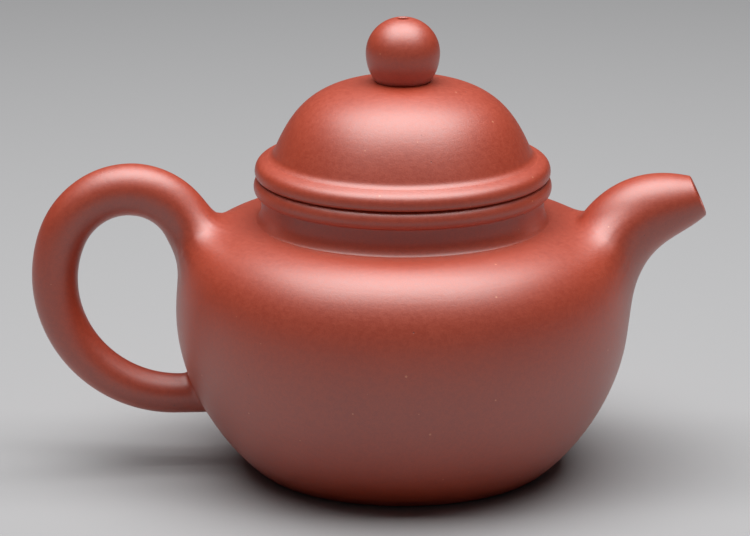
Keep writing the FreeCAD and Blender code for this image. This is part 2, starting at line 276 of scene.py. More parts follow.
# %% Burnished and plain clay
Clay = namedtuple("Clay", "dark light speck roughness gloss coat relief strokes")
PALE_GRAINS = {"Cells_per_metre": 360.0, "Share": 0.22, "Size": 0.095}
PIN_HOLES = {"Cells_per_metre": 510.0, "Share": 0.09, "Size": 0.085}
# Painted shade: the pin-holes are coloured dark, where shade would fall inside them.
PIN_HOLE_SHADE_COLOUR = (0.10, 0.016, 0.010, 1.0)
SAND_TONE = 0.7
PALE_COVER = 0.75
PIN_HOLE_SHADE_COVER = 0.6
SAND_ROUGHNESS = 0.08
PIT_ROUGHNESS = 0.2


def place(tree, group, **values):
    """A node group placed in a material, with its own values; returns its outputs."""
    node = tree.nodes.new("ShaderNodeGroup")
    node.node_tree = group
    for key, value in values.items():
        node.inputs[key.replace("_", " ")].default_value = value
    return node.outputs


def clay_material(name, look):
    """Fired clay: tone, specks and painted shade in the pin-holes into colour, grain and strokes into
    bump and gloss.
    """
    material = bpy.data.materials.new("fired_" + name)
    material.use_nodes = True
    tree = material.node_tree
    shader = tree.nodes["Principled BSDF"]
    sand = place(tree, SAND)
    kiln = place(tree, KILN)
    pale = place(tree, SPECKS, **PALE_GRAINS)
    pits = place(tree, SPECKS, **PIN_HOLES)
    strokes = place(tree, STROKES)
    tone = weighed(tree, sand["Tone"], kiln["Tone"], SAND_TONE)
    colour = blend_colour(tree, tone, look.dark, look.light)
    colour = blend_colour(tree, calc(tree, "MULTIPLY", pale["Mask"], PALE_COVER), colour, look.speck)
    # Painted shade darkens the pin-holes; their depth is also in the bump below.
    colour = blend_colour(tree, calc(tree, "MULTIPLY", pits["Mask"], PIN_HOLE_SHADE_COVER), colour, PIN_HOLE_SHADE_COLOUR)
    feed(tree, shader.inputs["Base Color"], colour)
    sandy = calc(tree, "MULTIPLY", sand["Tone"], SAND_ROUGHNESS)
    rough = calc(tree, "ADD", look.roughness - SAND_ROUGHNESS / 2, sandy)
    pitted = calc(tree, "MULTIPLY", pits["Mask"], PIT_ROUGHNESS)
    feed(tree, shader.inputs["Roughness"], calc(tree, "ADD", rough, pitted))
    shader.inputs["Specular IOR Level"].default_value = look.gloss
    shader.inputs["Coat Weight"].default_value = look.coat
    shader.inputs["Coat Roughness"].default_value = look.roughness
    height = calc(tree, "ADD", sand["Height"], calc(tree, "MULTIPLY", strokes["Height"], look.strokes))
    height = calc(tree, "SUBTRACT", height, pits["Mask"])
    bump = add_node(tree, "ShaderNodeBump", Height=height, Distance=look.relief, Strength=1.0)
    feed(tree, shader.inputs["Normal"], bump.outputs["Normal"])
    return material


CLAYS = {
    "burnished_clay": Clay(dark=(0.380, 0.035, 0.008, 1.0), light=(0.480, 0.054, 0.014, 1.0),
                           speck=(0.72, 0.26, 0.14, 1.0), roughness=0.47, gloss=1.0, coat=0.85,
                           relief=0.05 * MM, strokes=0.4),
    "plain_clay": Clay(dark=(0.340, 0.042, 0.014, 1.0), light=(0.440, 0.066, 0.026, 1.0),
                       speck=(0.64, 0.26, 0.14, 1.0), roughness=0.68, gloss=0.6, coat=0.0,
                       relief=0.08 * MM, strokes=1.6),
}
clay_of = {name: clay_material(name, look) for name, look in CLAYS.items()}
print("clay finishes:", list(clay_of))

# %% [markdown]
# ## Outlines
# A potter checks a turned form with a template, which is half of its outline. Here an outline is an
# array of (radius, height) points, put together from curves, arcs and straight runs. No edge of a
# clay pot is knife sharp, so the finished outline is drawn again at even steps and every point is
# averaged with its neighbours. That rounds each corner a little and leaves long runs alone.

# %% Curves for outlines
STEP = 0.3 * MM


def bezier(a, b, c, d, count=160):
    """Cubic curve: four points weighted (1-t)^3, 3(1-t)^2 t, 3(1-t) t^2 and t^3, for t from 0 to 1."""
    t = np.linspace(0.0, 1.0, count)[:, None]
    s = 1.0 - t
    first = s**3 * np.array(a) + 3 * s * s * t * np.array(b)
    return first + 3 * s * t * t * np.array(c) + t**3 * np.array(d)


def oval(centre, across, tall, start, end, count=90):
    """Piece of an oval: the centre plus (across cos w, tall sin w), for w from start to end.

    The angles are in degrees.
    """
    w = np.radians(np.linspace(start, end, count))
    return np.array(centre) + np.column_stack([across * np.cos(w), tall * np.sin(w)])


def toward(point, degrees, length):
    """Point reached from another by a straight step at an angle above the radius."""
    w = math.radians(degrees)
    return (point[0] + length * math.cos(w), point[1] + length * math.sin(w))


def eased(points, width, closed=False):
    """Outline drawn again at even steps, with each point averaged over a window of that width.

    The window has half-cosine weights. An open outline is mirrored through its ends, which
    keeps them where they are.
    """
    points = np.vstack([points, points[:1]]) if closed else np.asarray(points, float)
    lengths = np.hypot(*np.diff(points, axis=0).T)
    travelled = np.concatenate([[0.0], np.cumsum(lengths)])
    count = max(4, int(round(travelled[-1] / STEP)))
    even = np.linspace(0.0, travelled[-1], count + 1)
    drawn = np.column_stack([np.interp(even, travelled, points[:, i]) for i in (0, 1)])
    half = min(count - 1, max(1, int(round(width / STEP))))
    weights = np.cos(np.linspace(-0.5, 0.5, 2 * half + 3)[1:-1] * math.pi)
    weights /= weights.sum()
    if closed:
        padded = np.vstack([drawn[-1 - half:-1], drawn[:-1], drawn[:half]])
    else:
        before = 2 * drawn[0] - drawn[half:0:-1]
        after = 2 * drawn[-1] - drawn[-2:-2 - half:-1]
        padded = np.vstack([before, drawn, after])
    return np.column_stack([np.convolve(padded[:, i], weights, "valid") for i in (0, 1)])


print("outlines are drawn at steps of", round(STEP / MM, 2), "mm")

# %% [markdown]
# ## Skins
# A skin is a grid of points. A turned piece carries its outline once round the pot axis, and a roll
# carries a ring along a line. Blender's Screw and Curve tools can do that too, but with whole arrays
# the rows stay known, and edges can be marked sharp and rows given plain clay. Every grid closes up
# in both directions like a bicycle tube, so no seam is left open. The sign of the enclosed volume
# tells which way the faces look, and they are turned to look outwards.

# %% Grids into meshes
AROUND = 192
pieces = {}


def grid_faces(rows, columns):
    """Corner numbers of the quads of a grid that closes up along its rows and its columns."""
    i, j = np.meshgrid(np.arange(rows), np.arange(columns), indexing="ij")
    down = (i + 1) % rows
    right = (j + 1) % columns
    corners = [i * columns + j, i * columns + right, down * columns + right, down * columns + j]
    return np.stack(corners, axis=-1).reshape(-1, 4)


def enclosed_volume(points, faces):
    """Signed volume inside closed quads: a sixth of the sum of a · (b × c) over their triangles."""
    a, b, c, d = (points[faces[:, i]] for i in range(4))
    first = (a * np.cross(b, c)).sum()
    second = (a * np.cross(c, d)).sum()
    return (first + second) / 6.0


def add_piece(name, grid, body, slot, nodes, sharp_rows=(), inner_rows=None):
    """Piece from a closed grid of points, which rides on a body and stands for CAD nodes.

    It wears the clay of its slot, and plain clay on the inner rows, if any are given.
    Edges along the sharp rows are not smoothed over.
    """
    rows, columns = grid.shape[:2]
    points = grid.reshape(-1, 3)
    faces = grid_faces(rows, columns)
    if enclosed_volume(points, faces) < 0:
        faces = faces[:, ::-1]
    mesh = bpy.data.meshes.new(name)
    mesh.from_pydata(points.tolist(), [], faces.tolist())
    mesh.shade_smooth()
    ends = np.empty(2 * len(mesh.edges), np.int32)
    mesh.edges.foreach_get("vertices", ends)
    row = ends.reshape(-1, 2) // columns
    sharp = (row[:, 0] == row[:, 1]) & np.isin(row[:, 0], sharp_rows)
    mesh.attributes.new("sharp_edge", "BOOLEAN", "EDGE").data.foreach_set("value", sharp)
    mesh.materials.append(clay_of[slot])
    if inner_rows:
        mesh.materials.append(clay_of["plain_clay"])
        face_row = np.arange(len(faces)) // columns
        inner = (face_row >= inner_rows[0]) & (face_row < inner_rows[1])
        mesh.polygons.foreach_set("material_index", inner.astype(np.int32))
    piece = bpy.data.objects.new(name, mesh)
    bpy.context.scene.collection.objects.link(piece)
    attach(piece, body)
    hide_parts(*nodes)
    pieces[name] = piece
    print(name, len(faces), "quads,", round(abs(enclosed_volume(points, faces)) * 1e6, 2), "cm3")
    return piece


def turned(runs):
    """Turned skin: row i and column j hold (r cos a, r sin a, z) of outline point i at angle j.

    The runs of the outline follow each other round, and the edges between them are the sharp rows.
    """
    outline = np.vstack([run[:-1] for run in runs])
    sharp_rows = np.cumsum([0] + [len(run) - 1 for run in runs[:-1]])
    angle = np.linspace(0.0, 2.0 * math.pi, AROUND, endpoint=False)
    radius, height = outline[:, :1], outline[:, 1:]
    grid = np.stack([radius * np.cos(angle), radius * np.sin(angle), height + 0.0 * angle], axis=-1)
    return grid, sharp_rows if len(runs) > 1 else ()


def loop(outline, width):
    """A closed outline with every corner eased, as the only run of a turned skin."""
    drawn = eased(outline, width, closed=True)
    return [np.vstack([drawn, drawn[:1]])]


print("turned skins have", AROUND, "columns")

# %% [markdown]
# ## The belly
# The wall of the belly is a slab, closed into a ring and beaten with a wooden paddle into a full,
# low-slung round. A ball could be squeezed into it, but two cubic curves that meet at the widest ring
# hold its true sizes: one rises from the foot and one leans in to the neck. The inside is the same
# pair drawn one wall further in.

# %% Belly curve
WIDEST = 35.6 * MM
FOOT_RADIUS = 32.0 * MM
FOOT_ANGLE = 33.0
NECK_RADIUS = 31.2 * MM
SHOULDER_ANGLE = 12.0
FOOT_PULL = 6.5 * MM
LOWER_PULL = 17.9 * MM
UPPER_PULL = 21.8 * MM
NECK_PULL = 3.7 * MM


def belly_curve(inset):
    """Lower and upper belly curve, both moved inwards by the inset, from the foot to the neck."""
    radius = BELLY_RADIUS - inset
    foot = toward((FOOT_RADIUS, 0.0), FOOT_ANGLE + 90.0, inset)
    neck = toward((NECK_RADIUS, SHOULDER_HEIGHT), 270.0 - SHOULDER_ANGLE, inset)
    low_share = (WIDEST - foot[1]) / WIDEST
    high_share = (neck[1] - WIDEST) / (SHOULDER_HEIGHT - WIDEST)
    lower = bezier(foot, toward(foot, FOOT_ANGLE, FOOT_PULL * low_share),
                   (radius, WIDEST - LOWER_PULL * low_share), (radius, WIDEST))
    upper = bezier((radius, WIDEST), (radius, WIDEST + UPPER_PULL * high_share),
                   toward(neck, -SHOULDER_ANGLE, NECK_PULL * high_share), neck)
    return np.vstack([lower[:-1], upper])


def split_at(curve, radius):
    """The curve's part below the point where its upper half reaches a radius, and the part above."""
    top_half = curve[:, 1] >= WIDEST
    outside = (curve[:, 0] > radius) | ~top_half
    last = np.flatnonzero(outside)[-1]
    share = (curve[last, 0] - radius) / (curve[last, 0] - curve[last + 1, 0])
    cut = curve[last] + share * (curve[last + 1] - curve[last])
    return np.vstack([curve[:last + 1], cut]), np.vstack([cut, curve[last + 1:]])


OUTER = belly_curve(0.0)
INNER = belly_curve(WALL)
print("belly is widest at", round(WIDEST / MM, 1), "mm and", len(OUTER), "points tall")

# %% [markdown]
# ## Wall and shoulder
# The wall runs into the floor inside with a soft hollow, and stands on a softened edge outside. The
# slab that closes the shoulder is luted on and burnished until its seam is gone. So both outlines use
# the same curve, and part at a plain cut that nobody sees.

# %% Belly wall and shoulder slab
FOOT_EDGE = 0.9 * MM
INNER_EASE = 2.5 * MM
MOUTH_CLEARANCE = 0.3 * MM
MOUTH_RADIUS = TONGUE_RADIUS + MOUTH_CLEARANCE

outer_low, outer_high = split_at(OUTER, SHOULDER_SEAM)
inner_low, inner_high = split_at(INNER, SHOULDER_SEAM)
inside = inner_low[inner_low[:, 1] > FLOOR]
outside_run = eased(np.vstack([[(BASE_RADIUS, 0.0)], outer_low]), FOOT_EDGE)
floor_run = [(inside[0, 0], FLOOR), (BASE_RADIUS, FLOOR)]
inside_run = eased(np.vstack([inside[::-1], floor_run]), INNER_EASE)
seam_cut = np.vstack([outside_run[-1:], inside_run[:1]])
base_cut = np.vstack([inside_run[-1:], outside_run[:1]])
skin, sharp = turned([outside_run, seam_cut, inside_run, base_cut])
add_piece("belly_wall", skin, "pot", "burnished_clay", ["body_wall"], sharp, (sharp[2], len(skin)))

top_run = np.vstack([outer_high, [(MOUTH_RADIUS, SHOULDER_HEIGHT)]])
under_run = np.vstack([[(MOUTH_RADIUS, inner_high[-1, 1])], inner_high[::-1]])
skin, sharp = turned([eased(top_run, STEP), np.vstack([top_run[-1:], under_run[:1]]),
                      eased(under_run, STEP), np.vstack([inner_high[:1], outer_high[:1]])])
add_piece("shoulder_slab", skin, "pot", "burnished_clay", ["shoulder_disc"], sharp,
          (sharp[1], len(skin)))

# %% [markdown]
# ## The base slab
# The floor of the pot is a plain disc, set a millimetre up inside the foot so that the pot stands on
# its ring. It is a turned outline too, with a pin-hole in the middle that is far too small to see,
# which spares the grid a pole.

# %% Base slab
PIN = 0.02 * MM
SLAB_EDGE = 0.5 * MM

underside = low("base_disc")
corners = [(PIN, underside), (BASE_RADIUS, underside), (BASE_RADIUS, FLOOR), (PIN, FLOOR)]
skin, sharp = turned(loop(np.array(corners), SLAB_EDGE))
add_piece("base_slab", skin, "pot", "plain_clay", ["base_disc"], sharp)

# %% [markdown]
# ## Neck and lip
# A short collar stands on the shoulder. It flares a little towards its foot, and a wooden tool has
# run a tight hollow round where they meet. On the collar sits the lip, a half round that bulges out
# and is flat only where the lid rests. A bevel between collar and shoulder would need one mesh for
# both. Here the hollow is part of the collar, and its skirt ends a hair under the shoulder, so that
# one surface slides into the other.

# %% Neck ring and mouth rim
FLARE = 5.0 * MM
FLARE_ANGLE = 36.0
COVE = 0.65 * MM
SKIRT = 2 * STEP
SUNK = 0.06 * MM
LIP_BULGE = 1.5 * MM
LIP_LOW = 0.4 * MM
LIP_EDGE = 0.3 * MM

cove_end = 270.0 - SHOULDER_ANGLE
flare = oval((NECK_RADIUS + FLARE, 0.0), FLARE, FLARE, 180.0, 180.0 + FLARE_ANGLE)
cove = oval(toward(flare[-1], FLARE_ANGLE, COVE), COVE, COVE, 180.0 + FLARE_ANGLE, cove_end)
collar = np.vstack([flare, cove[1:]])
spread = collar[-1, 0] - NECK_RADIUS
collar[:, 1] += SHOULDER_HEIGHT - spread * math.tan(math.radians(SHOULDER_ANGLE)) - collar[-1, 1]
skirt = toward(collar[-1], -SHOULDER_ANGLE, SKIRT)
neck_run = eased(np.vstack([[(NECK_RADIUS, NECK_TOP)], collar, [(skirt[0], skirt[1] - SUNK)]]), STEP)
neck_under = np.array([neck_run[-1], (NECK_RADIUS, SHOULDER_HEIGHT - WALL / 2),
                       (MOUTH_RADIUS, SHOULDER_HEIGHT)])
neck_bore = np.array([neck_under[-1], (MOUTH_RADIUS, NECK_TOP)])
neck_top = np.array([neck_bore[-1], neck_run[0]])
skin, sharp = turned([neck_run, neck_under, neck_bore, neck_top])
add_piece("neck_collar", skin, "pot", "burnished_clay", ["neck_ring"], sharp, (sharp[1], len(skin)))

lip_middle = (NECK_RADIUS, NECK_TOP + LIP_BULGE)
lip_under = oval(lip_middle, LIP_RADIUS - NECK_RADIUS, LIP_BULGE + LIP_LOW, -90.0, 0.0)
lip_over = oval(lip_middle, LIP_RADIUS - NECK_RADIUS, LIP_TOP - lip_middle[1], 0.0, 90.0)
lip = np.vstack([[(MOUTH_RADIUS, NECK_TOP)], lip_under, lip_over, [(MOUTH_RADIUS, LIP_TOP)]])
skin, sharp = turned(loop(lip, LIP_EDGE))
add_piece("mouth_lip", skin, "pot", "burnished_clay", ["mouth_rim"], sharp)

# %% [markdown]
# ## The lid
# The lid is four pieces: a ring with a rounded bead edge, a dome luted on the ring, a tongue below it
# that drops into the mouth, and a ball for a knob. The dome's flank comes down almost straight and
# turns in a small hollow into the bead, which falls away from there in one round. One outline could
# hold the whole lid, but the pieces stay apart as they are on the real one, and the hollow ends in a
# skirt under the bead, so that no seam shows. The vent goes down through knob and dome, and the edge
# of its hole is softened.

# %% Lid ring and dome
BEAD_UNDER = 1.0 * MM
BEAD_EDGE = 0.3 * MM
BEAD_TOP_PULL = 1.6 * MM
BEAD_SIDE_PULL = 2.6 * MM
HOLLOW = 2.0 * MM
HOLLOW_SLOPE = 24.0
HOLLOW_RADIUS = 29.45 * MM
HOLLOW_DROP = 0.15 * MM
RING_DROP = 0.5 * MM
RING_LAP = 0.6 * MM
DOME_RISE = 17.9 * MM
FLANK_ANGLE = 113.4
FLANK_PULL = 10.6 * MM
CROWN_PULL = 18.4 * MM
CROWN_DROP = 0.7 * MM
VAULT_RADIUS = 24.15 * MM
VAULT_HEIGHT = 14.1 * MM
VAULT_RISE = 0.8 * MM
VENT = 1.15 * MM

hollow_end = (HOLLOW_RADIUS, BEAD_TOP - HOLLOW_DROP)
bead_side = (BEAD_RADIUS, LIP_TOP + BEAD_UNDER)
bead_round = bezier(hollow_end, toward(hollow_end, -HOLLOW_SLOPE, BEAD_TOP_PULL),
                    toward(bead_side, 90.0, BEAD_SIDE_PULL), bead_side)
bead_middle = (BEAD_RADIUS - BEAD_UNDER, LIP_TOP + BEAD_UNDER)
bead_under = oval(bead_middle, BEAD_UNDER, BEAD_UNDER, 0.0, -90.0)
ring_seat = DOME_SEAT - RING_DROP
lid_ring = np.vstack([[(VAULT_RADIUS, ring_seat), (HOLLOW_RADIUS - RING_LAP, ring_seat)],
                      bead_round, bead_under, [(VAULT_RADIUS, LIP_TOP)]])
skin, sharp = turned(loop(lid_ring, BEAD_EDGE))
add_piece("lid_ring", skin, "lid", "burnished_clay", ["lid_rim"], sharp)

hollow_middle = toward(hollow_end, 90.0 - HOLLOW_SLOPE, HOLLOW)
hollow = oval(hollow_middle, HOLLOW, HOLLOW, 270.0 - HOLLOW_SLOPE, FLANK_ANGLE + 90.0)
crown_end = (VENT, DOME_SEAT + DOME_RISE - CROWN_DROP)
crown = bezier(hollow[-1], toward(hollow[-1], FLANK_ANGLE, FLANK_PULL),
               toward(crown_end, 0.0, CROWN_PULL), crown_end)
skirt = toward(hollow_end, -HOLLOW_SLOPE, SKIRT)
vault_top = math.degrees(math.acos(VENT / VAULT_RADIUS))
vault = oval((0.0, DOME_SEAT + VAULT_RISE), VAULT_RADIUS, VAULT_HEIGHT, vault_top, 0.0)
dome_skin = eased(np.vstack([[(skirt[0], skirt[1] - SUNK)], hollow, crown[1:]]), STEP)
dome_vault = eased(np.vstack([vault, [(VAULT_RADIUS, ring_seat)]]), STEP)
skin, sharp = turned([dome_skin, np.vstack([dome_skin[-1:], dome_vault[:1]]), dome_vault,
                      np.vstack([dome_vault[-1:], dome_skin[:1]])])
add_piece("lid_dome_skin", skin, "lid", "burnished_clay", ["lid_dome"], sharp, (sharp[1], len(skin)))

# %% [markdown]
# ## Tongue and knob
# The tongue is a plain ring with a little room all round, which keeps the lid in place and is left
# unburnished. The knob is a ball that is a little taller below its middle than above it, so it is two
# half ovals, sunk into the crown of the dome where it is luted on.

# %% Tongue and knob
TONGUE_THICKNESS = 2.6 * MM
SOFT_EDGE = 0.5 * MM
KNOB_UPPER = 7.85 * MM
KNOB_LOWER = 9.5 * MM
KNOB_SUNK = 0.8 * MM

tongue_inner = TONGUE_RADIUS - TONGUE_THICKNESS
tongue = np.array([(tongue_inner, LIP_TOP), (tongue_inner, TONGUE_LOW),
                   (TONGUE_RADIUS, TONGUE_LOW), (TONGUE_RADIUS, LIP_TOP)])
skin, sharp = turned(loop(tongue, SOFT_EDGE))
add_piece("lid_tongue_ring", skin, "lid", "plain_clay", ["lid_tongue"], sharp)

knob_centre = (0.0, KNOB_TOP - KNOB_UPPER)
knob_sunk = crown_end[1] - KNOB_SUNK
knob_foot = -math.degrees(math.asin((knob_centre[1] - knob_sunk) / KNOB_LOWER))
knob_top = math.degrees(math.acos(VENT / KNOB_RADIUS))
ball = np.vstack([[(VENT, knob_sunk)], oval(knob_centre, KNOB_RADIUS, KNOB_LOWER, knob_foot, 0.0),
                  oval(knob_centre, KNOB_RADIUS, KNOB_UPPER, 0.0, knob_top)])
skin, sharp = turned(loop(ball, SOFT_EDGE))
add_piece("lid_ball_knob", skin, "lid", "burnished_clay", ["lid_knob"], sharp)

# %% [markdown]
# ## Rolls of clay
# Spout and handle are tapering rolls, bent in one plane. A curve object with a round bevel would give
# their skin, but not their distance from the belly, which their roots need. So a roll is kept as a
# line of (x, z) points with a heading and a radius at each, and its skin is a ring carried along it.

# %% Rolls
Roll = namedtuple("Roll", "length x z heading radius")


def roll_point(roll, along, turn, radius=None):
    """Point of a roll's skin: the centre at a length along it, plus the radius turned by an angle.

    The turn starts at the upper side of the line, square to the heading, and goes towards +Y.
    """
    heading = np.interp(along, roll.length, roll.heading)
    if radius is None:
        radius = np.interp(along, roll.length, roll.radius)
    side = radius * np.cos(turn)
    x = np.interp(along, roll.length, roll.x) - side * np.sin(heading)
    z = np.interp(along, roll.length, roll.z) + side * np.cos(heading)
    return np.stack([x, radius * np.sin(turn), z], axis=-1)


def roll_gap(roll, points):
    """Distance of points from a roll's skin and the way it grows.

    It is the least, over the centres of the roll, of the distance to the centre less the radius.
    """
    centres = np.stack([roll.x, 0.0 * roll.x, roll.z], axis=-1)
    away = points[..., None, :] - centres
    distance = np.linalg.norm(away, axis=-1)
    gap = distance - roll.radius
    nearest = gap.argmin(axis=-1)[..., None]
    pick = np.take_along_axis(away, nearest[..., None], axis=-2)[..., 0, :]
    least = np.take_along_axis(gap, nearest, axis=-1)[..., 0]
    return least, pick / np.linalg.norm(pick, axis=-1)[..., None]


belly_line = eased(OUTER, STEP)
belly_along = np.gradient(belly_line, axis=0)
belly_normal = np.column_stack([belly_along[:, 1], -belly_along[:, 0]])
belly_normal /= np.linalg.norm(belly_normal, axis=1)[:, None]


def belly_gap(points):
    """Distance of points from the belly and the way it grows: measured along the nearest normal."""
    radius = np.hypot(points[..., 0], points[..., 1])
    flat = np.stack([radius, points[..., 2]], axis=-1)
    nearest = ((flat[..., None, :] - belly_line) ** 2).sum(axis=-1).argmin(axis=-1)
    normal = belly_normal[nearest]
    gap = ((flat - belly_line[nearest]) * normal).sum(axis=-1)
    out = normal[..., 0] / radius
    return gap, np.stack([out * points[..., 0], out * points[..., 1], normal[..., 1]], axis=-1)


print("belly line for the roots has", len(belly_line), "points")

# %% [markdown]
# ## Luted roots
# Where a roll meets the belly, the potter adds slip and strokes the joint into a hollow curve. A
# boolean and a bevel would do it with ragged faces. Here the curve is a blend of two distances: a
# point lies on the root where the smaller of its gaps to roll and belly, less a term that grows
# where the gaps are alike, is zero. The points start on the two bare skins and are pulled on to the
# blend along its slope. A ball that rolls in the corner sets the width of the blend. Over the roll,
# beside it and under it the ball has other sizes, as the potter's thumb leaves more clay under a spout.

# %% Roots by blended distances
UPPER_ROWS = 30
LOWER_ROWS = 16
HALVINGS = 34
PULLS = 10
SETTLINGS = 3
BLEND = 1.5
REACH = 4
HEM = ((1, 0.1), (2, 0.6), (3, 1.6))


def halve(gap_at, inside, outside, wanted):
    """Place between two others where a growing gap has a wanted value, by halving."""
    for _ in range(HALVINGS):
        middle = (inside + outside) / 2
        below = gap_at(middle) < wanted
        inside = np.where(below, middle, inside)
        outside = np.where(below, outside, middle)
    return (inside + outside) / 2


def on_belly(points, sunk=0.0):
    """Points moved along the belly's normal on to its surface, or a little below it."""
    for _ in range(SETTLINGS):
        gap, slope = belly_gap(points)
        points = points - (gap + sunk)[..., None] * slope
    return points


def blended(roll, points, width, skin_gap):
    """Points pulled on to the root, where min(a, b) - h³ width / 6 is zero.

    Here a and b are the gaps to roll and belly, and h is 1 - |a - b| / width, but at least 0.
    A tapering roll's skin has a small gap of its own, which is taken off its distance a.
    """
    for _ in range(PULLS):
        a, a_slope = roll_gap(roll, points)
        b, b_slope = belly_gap(points)
        a = a - skin_gap
        h = np.clip(1.0 - np.abs(a - b) / width, 0.0, None)
        value = np.minimum(a, b) - h**3 * width / 6.0
        near = np.where(a < b, 1.0 - h * h / 2.0, h * h / 2.0)[..., None]
        slope = near * a_slope + (1.0 - near) * b_slope
        points = points - (value / (slope**2).sum(axis=-1))[..., None] * slope
    return points


def luted_root(roll, turn, inside, outside, balls):
    """Rows of a root, from the roll's bare skin down to the belly and a hair under it.

    The balls are those over, beside and under the roll; a column's ball is their mean, weighted
    by the squares of the cosine and sine of its turn. Returns the length along the roll where
    the root begins, the same for all columns so that the rows run straight across, and the rows.
    """
    over, beside, under = balls
    ball = beside + (np.where(np.cos(turn) > 0, over, under) - beside) * np.cos(turn) ** 2

    def height(along):
        return belly_gap(roll_point(roll, along, turn))[0]

    meet_along = halve(height, inside + 0.0 * turn, outside + 0.0 * turn, 0.0)
    meet = roll_point(roll, meet_along, turn)
    roll_out = roll_gap(roll, meet)[1]
    belly_out = belly_gap(meet)[1]
    alike = (roll_out * belly_out).sum(axis=-1)
    width = BLEND * ball * (1.0 - alike)
    out = roll_out - alike[:, None] * belly_out
    out /= np.linalg.norm(out, axis=-1)[:, None]
    starts = halve(height, inside + 0.0 * turn, outside + 0.0 * turn, width)
    start = starts[np.abs(starts - inside).argmax()]
    share = np.linspace(1.0, 0.0, UPPER_ROWS)[:, None]
    upper = roll_point(roll, meet_along + share * (start - meet_along), turn)
    upper_gap = roll_gap(roll, upper)[0]

    def spread(reach):
        return roll_gap(roll, on_belly(meet + reach[..., None] * out))[0] - upper_gap[-1]

    share = np.linspace(0.0, 1.0, LOWER_ROWS)[1:, None]
    none = 0.0 * share * width
    reach = halve(spread, none, none + REACH * max(balls), share * width)
    lower = on_belly(meet + reach[..., None] * out)
    skin_gap = np.concatenate([upper_gap, 0.0 * reach + upper_gap[-1]])
    rows = blended(roll, np.concatenate([upper, lower]), width, skin_gap)
    hem = [on_belly(meet + (reach[-1] + steps * STEP)[:, None] * out, depth * SUNK)
           for steps, depth in HEM]
    return start, np.concatenate([rows, np.array(hem)])


print("a root has", UPPER_ROWS + LOWER_ROWS - 1 + len(HEM), "rows")

# %% [markdown]
# ## The spout
# The spout is a short horn that leaves the belly below the shoulder, climbs and bends over to its
# mouth. The real one is rolled round a tapered stick, which leaves it hollow. A solid roll with a
# second one cut out of it would do, but one closed skin is cleaner: it goes down the outside, over the
# root, back under the hem to the hole in the wall and up the bore to the rounded mouth again.

# %% Spout
SPOUT_DROP = 5.9 * MM
SPOUT_ROOT_ANGLE = 58.0
SPOUT_ROOT_PULL = 11.0 * MM
SPOUT_REACH = 15.1 * MM
SPOUT_CLIMB = 11.05 * MM
SPOUT_MOUTH_ANGLE = 24.0
SPOUT_MOUTH_PULL = 6.3 * MM
SPOUT_ROOT_RADIUS = 8.9 * MM
SPOUT_MOUTH_RADIUS = 4.6 * MM
SPOUT_ROOT_WALL = 2.6 * MM
SPOUT_MOUTH_WALL = 1.4 * MM
SPOUT_BALLS = (2.0 * MM, 13.0 * MM, 22.0 * MM)
SPOUT_AROUND = 96
DEEP = 9.0 * MM
ROOT_BOUND = 0.95
DEEP_POINTS = 40
BEND_POINTS = 200

root_height = SHOULDER_HEIGHT - SPOUT_DROP
above = OUTER[:, 1] >= WIDEST
spout_root = (np.interp(root_height, OUTER[above, 1], OUTER[above, 0]), root_height)
spout_mouth = (BELLY_RADIUS + SPOUT_REACH, root_height + SPOUT_CLIMB)


def horn(root_radius, mouth_radius):
    """Roll of the spout: a straight run inside the belly, then a cubic curve to the mouth.

    Its radius is the root's less the square of the share travelled times the taper.
    """
    deep = np.linspace(toward(spout_root, SPOUT_ROOT_ANGLE, -DEEP), spout_root, DEEP_POINTS)
    bend = bezier(spout_root, toward(spout_root, SPOUT_ROOT_ANGLE, SPOUT_ROOT_PULL),
                  toward(spout_mouth, SPOUT_MOUTH_ANGLE, -SPOUT_MOUTH_PULL), spout_mouth, BEND_POINTS)
    line = np.vstack([deep[:-1], bend])
    share = np.concatenate([np.zeros(len(deep) - 1), np.linspace(0.0, 1.0, len(bend))])
    along = np.gradient(line, axis=0)
    length = np.concatenate([[0.0], np.cumsum(np.hypot(*np.diff(line, axis=0).T))])
    heading = np.unwrap(np.arctan2(along[:, 1], along[:, 0]))
    radius = root_radius + (mouth_radius - root_radius) * share**2
    return Roll(length, line[:, 0], line[:, 1], heading, radius)


shell = horn(SPOUT_ROOT_RADIUS, SPOUT_MOUTH_RADIUS)
bore = horn(SPOUT_ROOT_RADIUS - SPOUT_ROOT_WALL, SPOUT_MOUTH_RADIUS - SPOUT_MOUTH_WALL)
turn = np.linspace(0.0, 2.0 * math.pi, SPOUT_AROUND, endpoint=False)
root_along, root_rows = luted_root(shell, turn, DEEP / 3, ROOT_BOUND * shell.length[-1], SPOUT_BALLS)
print("the spout is", round(shell.length[-1] / MM, 1), "mm long, and its root begins at",
      round(root_along / MM, 1), "mm")

# %% Skin of the spout
SPOUT_ROWS = 46
UNDER_ROWS = 10
BORE_ROWS = 60
LIP_ROWS = 12
LIP_DEPTH = 0.25 * MM


def bore_height(along):
    """Distance of the bore's skin from the belly, at a length along the bore."""
    return belly_gap(roll_point(bore, along, turn))[0]


share = np.linspace(0.0, 1.0, SPOUT_ROWS)[:, None]
plain_along = (1 - share) * (shell.length[-1] - LIP_DEPTH) + share * root_along
plain_rows = roll_point(shell, plain_along, turn)[:-1]
bore_start = halve(bore_height, 0.0 * turn, 0.0 * turn + 2 * DEEP, -SUNK)
under_edge = roll_point(bore, bore_start, turn)
share = np.linspace(0.0, 1.0, UNDER_ROWS)[1:-1, None, None]
under_rows = on_belly((1 - share) * root_rows[-1] + share * under_edge, 2 * SUNK)
share = np.linspace(0.0, 1.0, BORE_ROWS)[:, None]
bore_along = (1 - share) * bore_start + share * (bore.length[-1] - LIP_DEPTH)
bore_rows = roll_point(bore, bore_along, turn)
half_wall = SPOUT_MOUTH_WALL / 2
w = np.linspace(math.pi, 0.0, LIP_ROWS)[1:-1, None]
lip_along = shell.length[-1] - LIP_DEPTH + LIP_DEPTH * np.sin(w)
